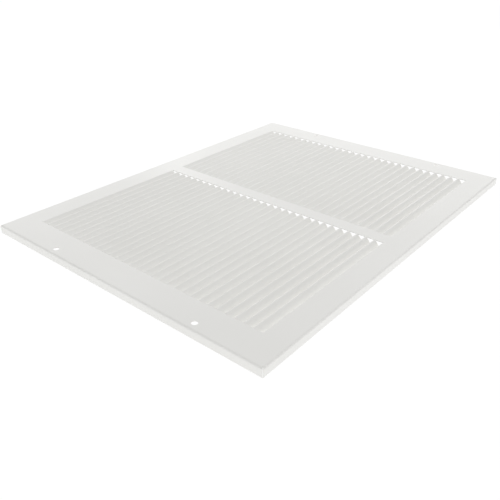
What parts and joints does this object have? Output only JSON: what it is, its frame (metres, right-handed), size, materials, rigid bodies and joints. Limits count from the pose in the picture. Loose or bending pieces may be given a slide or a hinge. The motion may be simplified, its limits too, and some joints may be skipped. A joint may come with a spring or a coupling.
{
  "type": "return air grille",
  "caption": "Flat white sheet-metal grille face with banks of curved louvres, turned-back edges and end screw holes, fixed over a return air opening.",
  "frame": {"origin": "under the middle of the face, on the plane of the turned-back edges that meet the wall or table", "axes": "+X across the louvres, towards the side that their free edges point to; +Y along the louvres; +Z out of the face, away from the wall"},
  "size_m": [0.2984, 0.4, 0.0075],
  "materials": {
    "white_paint": "satin white powder coat, light orange peel"
  },
  "bodies": {
    "root": {"grille": "white_paint"}
  },
  "joints": []
}
